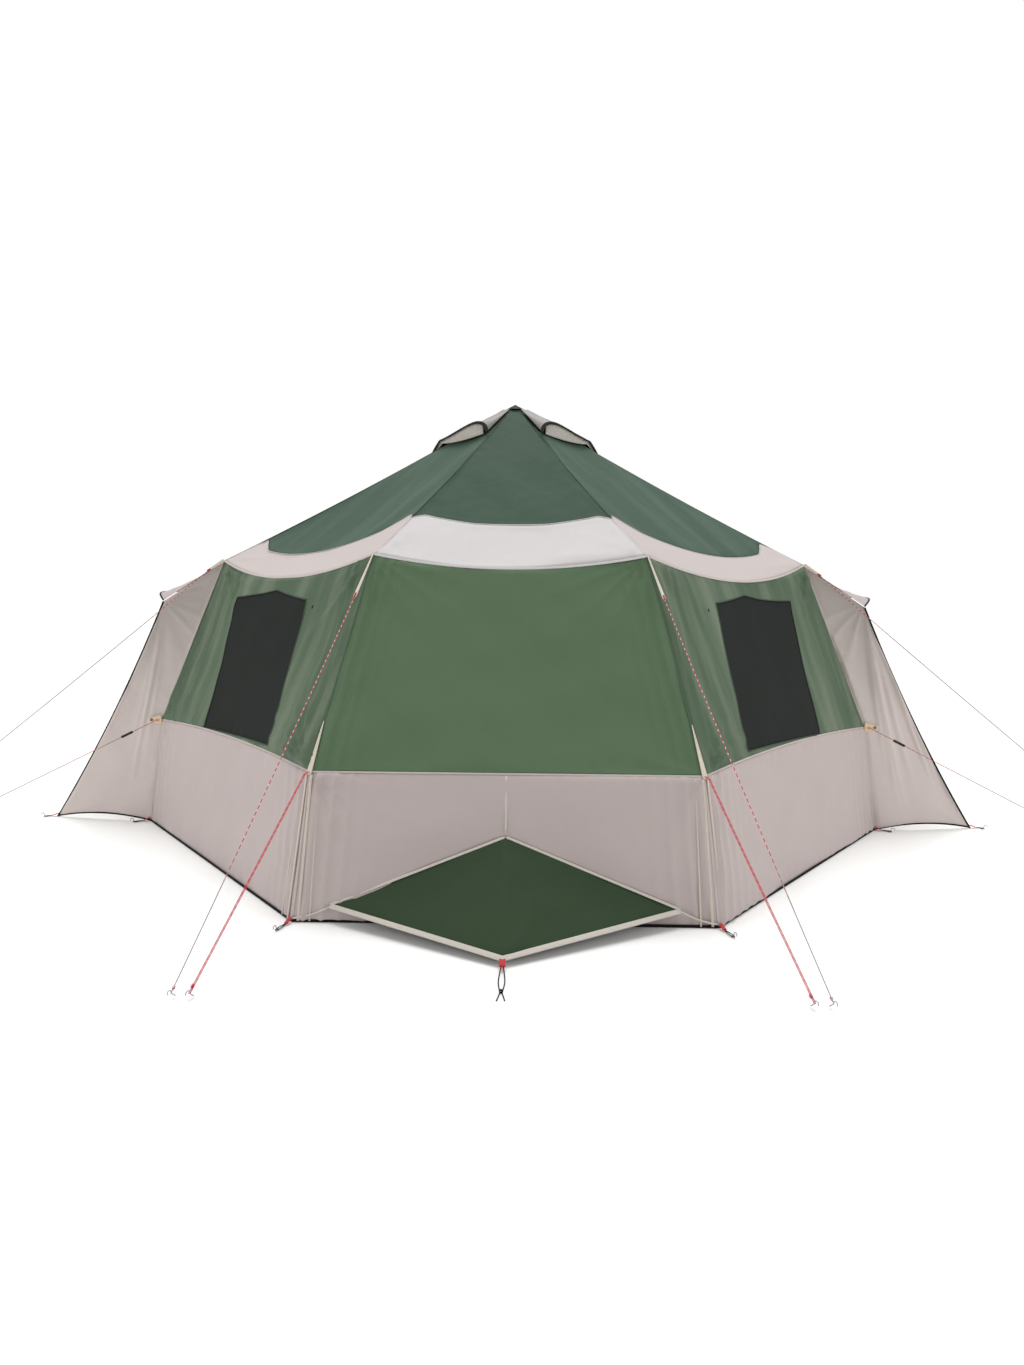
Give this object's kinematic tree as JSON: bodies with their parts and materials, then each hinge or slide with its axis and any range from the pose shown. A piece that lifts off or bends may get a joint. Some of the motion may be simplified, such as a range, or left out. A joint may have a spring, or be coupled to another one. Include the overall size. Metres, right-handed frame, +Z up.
{
  "type": "tent",
  "caption": "Octagonal family tent on a centre pole, with kinked walls, mesh windows, low vent hoods, guy lines and an open porch at each end.",
  "frame": {"origin": "on the ground at the foot of the centre pole, the middle of the octagonal floor", "axes": "+Z up along the centre pole; +X and -X out of the two porches; -Y the front, the wall with the low vent hood, and +Y the back"},
  "size_m": [7.049, 6.1338, 2.9564],
  "materials": {
    "roof": "coated polyester taffeta, dark green",
    "wall": "coated polyester taffeta, mid green",
    "band": "coated polyester taffeta, light greige",
    "vent": "coated polyester taffeta, light grey",
    "mesh": "fine polyester insect mesh, dark grey",
    "hood": "coated polyester taffeta, dark green with off-white binding",
    "groundsheet": "laminated polyethylene, grey",
    "steel": "zinc-plated steel tube",
    "plastic": "moulded nylon, black",
    "cord": "braided polyester cord, red with a reflective light fleck"
  },
  "bodies": {
    "tent": {"roof_right": "roof", "roof_back_right": "roof", "roof_back": "roof", "roof_back_left": "roof", "roof_left": "roof", "roof_front_left": "roof", "roof_front": "roof", "roof_front_right": "roof", "upper_wall_right": "wall", "upper_wall_back_right": "wall", "upper_wall_back": "wall", "upper_wall_back_left": "wall", "upper_wall_left": "wall", "upper_wall_front_left": "wall", "upper_wall_front": "wall", "upper_wall_front_right": "wall", "lower_wall_right": "band", "lower_wall_back_right": "band", "lower_wall_back": "band", "lower_wall_back_left": "band", "lower_wall_left": "band", "lower_wall_front_left": "band", "lower_wall_front": "band", "lower_wall_front_right": "band", "window_mesh_back_right": "mesh", "window_mesh_back_left": "mesh", "window_mesh_front_left": "mesh", "window_mesh_front_right": "mesh", "canopy_right": "band", "wing_front_right": "band", "wing_back_right": "band", "canopy_left": "band", "wing_front_left": "band", "wing_back_left": "band", "hood_front": "hood", "hood_back": "hood", "groundsheet": "groundsheet", "apex_cap": "roof", "pole_foot": "plastic", "pole_lower": "steel", "pole_upper": "steel", "pole_cap": "plastic", "guys_side_front_right": "cord", "guys_side_back_right": "cord", "guys_back_right": "cord", "guys_back_left": "cord", "guys_side_back_left": "cord", "guys_side_front_left": "cord", "guys_front_left": "cord", "guys_front_right": "cord"},
    "door_right": {"door_right": "wall"},
    "vent_right": {"vent_cap_right": "vent"},
    "runner_front_right": {"tensioner_front_right": "plastic"},
    "runner_back_right": {"tensioner_back_right": "plastic"},
    "door_left": {"door_left": "wall"},
    "vent_left": {"vent_cap_left": "vent"},
    "runner_front_left": {"tensioner_front_left": "plastic"},
    "runner_back_left": {"tensioner_back_left": "plastic"}
  },
  "joints": [
    {"name": "door_right_flap", "type": "hinge", "parent": "tent", "child": "door_right", "pos_m": [2.037, 0, 1.44], "axis": [0, -1, 0], "range_deg": [0, 50]},
    {"name": "vent_right_cap", "type": "hinge", "parent": "tent", "child": "vent_right", "pos_m": [0.1, 0, 2.903], "axis": [0, -1, 0], "range_deg": [0, 6]},
    {"name": "runner_front_right_slide", "type": "slide", "parent": "tent", "child": "runner_front_right", "axis": [0.6556, -0.6585, -0.3696], "range_m": [-0.12, 0.6]},
    {"name": "runner_back_right_slide", "type": "slide", "parent": "tent", "child": "runner_back_right", "axis": [0.6556, 0.6585, -0.3696], "range_m": [-0.12, 0.6]},
    {"name": "door_left_flap", "type": "hinge", "parent": "tent", "child": "door_left", "pos_m": [-2.037, 0, 1.44], "axis": [0, 1, 0], "range_deg": [0, 50]},
    {"name": "vent_left_cap", "type": "hinge", "parent": "tent", "child": "vent_left", "pos_m": [-0.1, 0, 2.903], "axis": [0, 1, 0], "range_deg": [0, 6]},
    {"name": "runner_front_left_slide", "type": "slide", "parent": "tent", "child": "runner_front_left", "axis": [-0.6556, -0.6585, -0.3696], "range_m": [-0.12, 0.6]},
    {"name": "runner_back_left_slide", "type": "slide", "parent": "tent", "child": "runner_back_left", "axis": [-0.6556, 0.6585, -0.3696], "range_m": [-0.12, 0.6]}
  ]
}
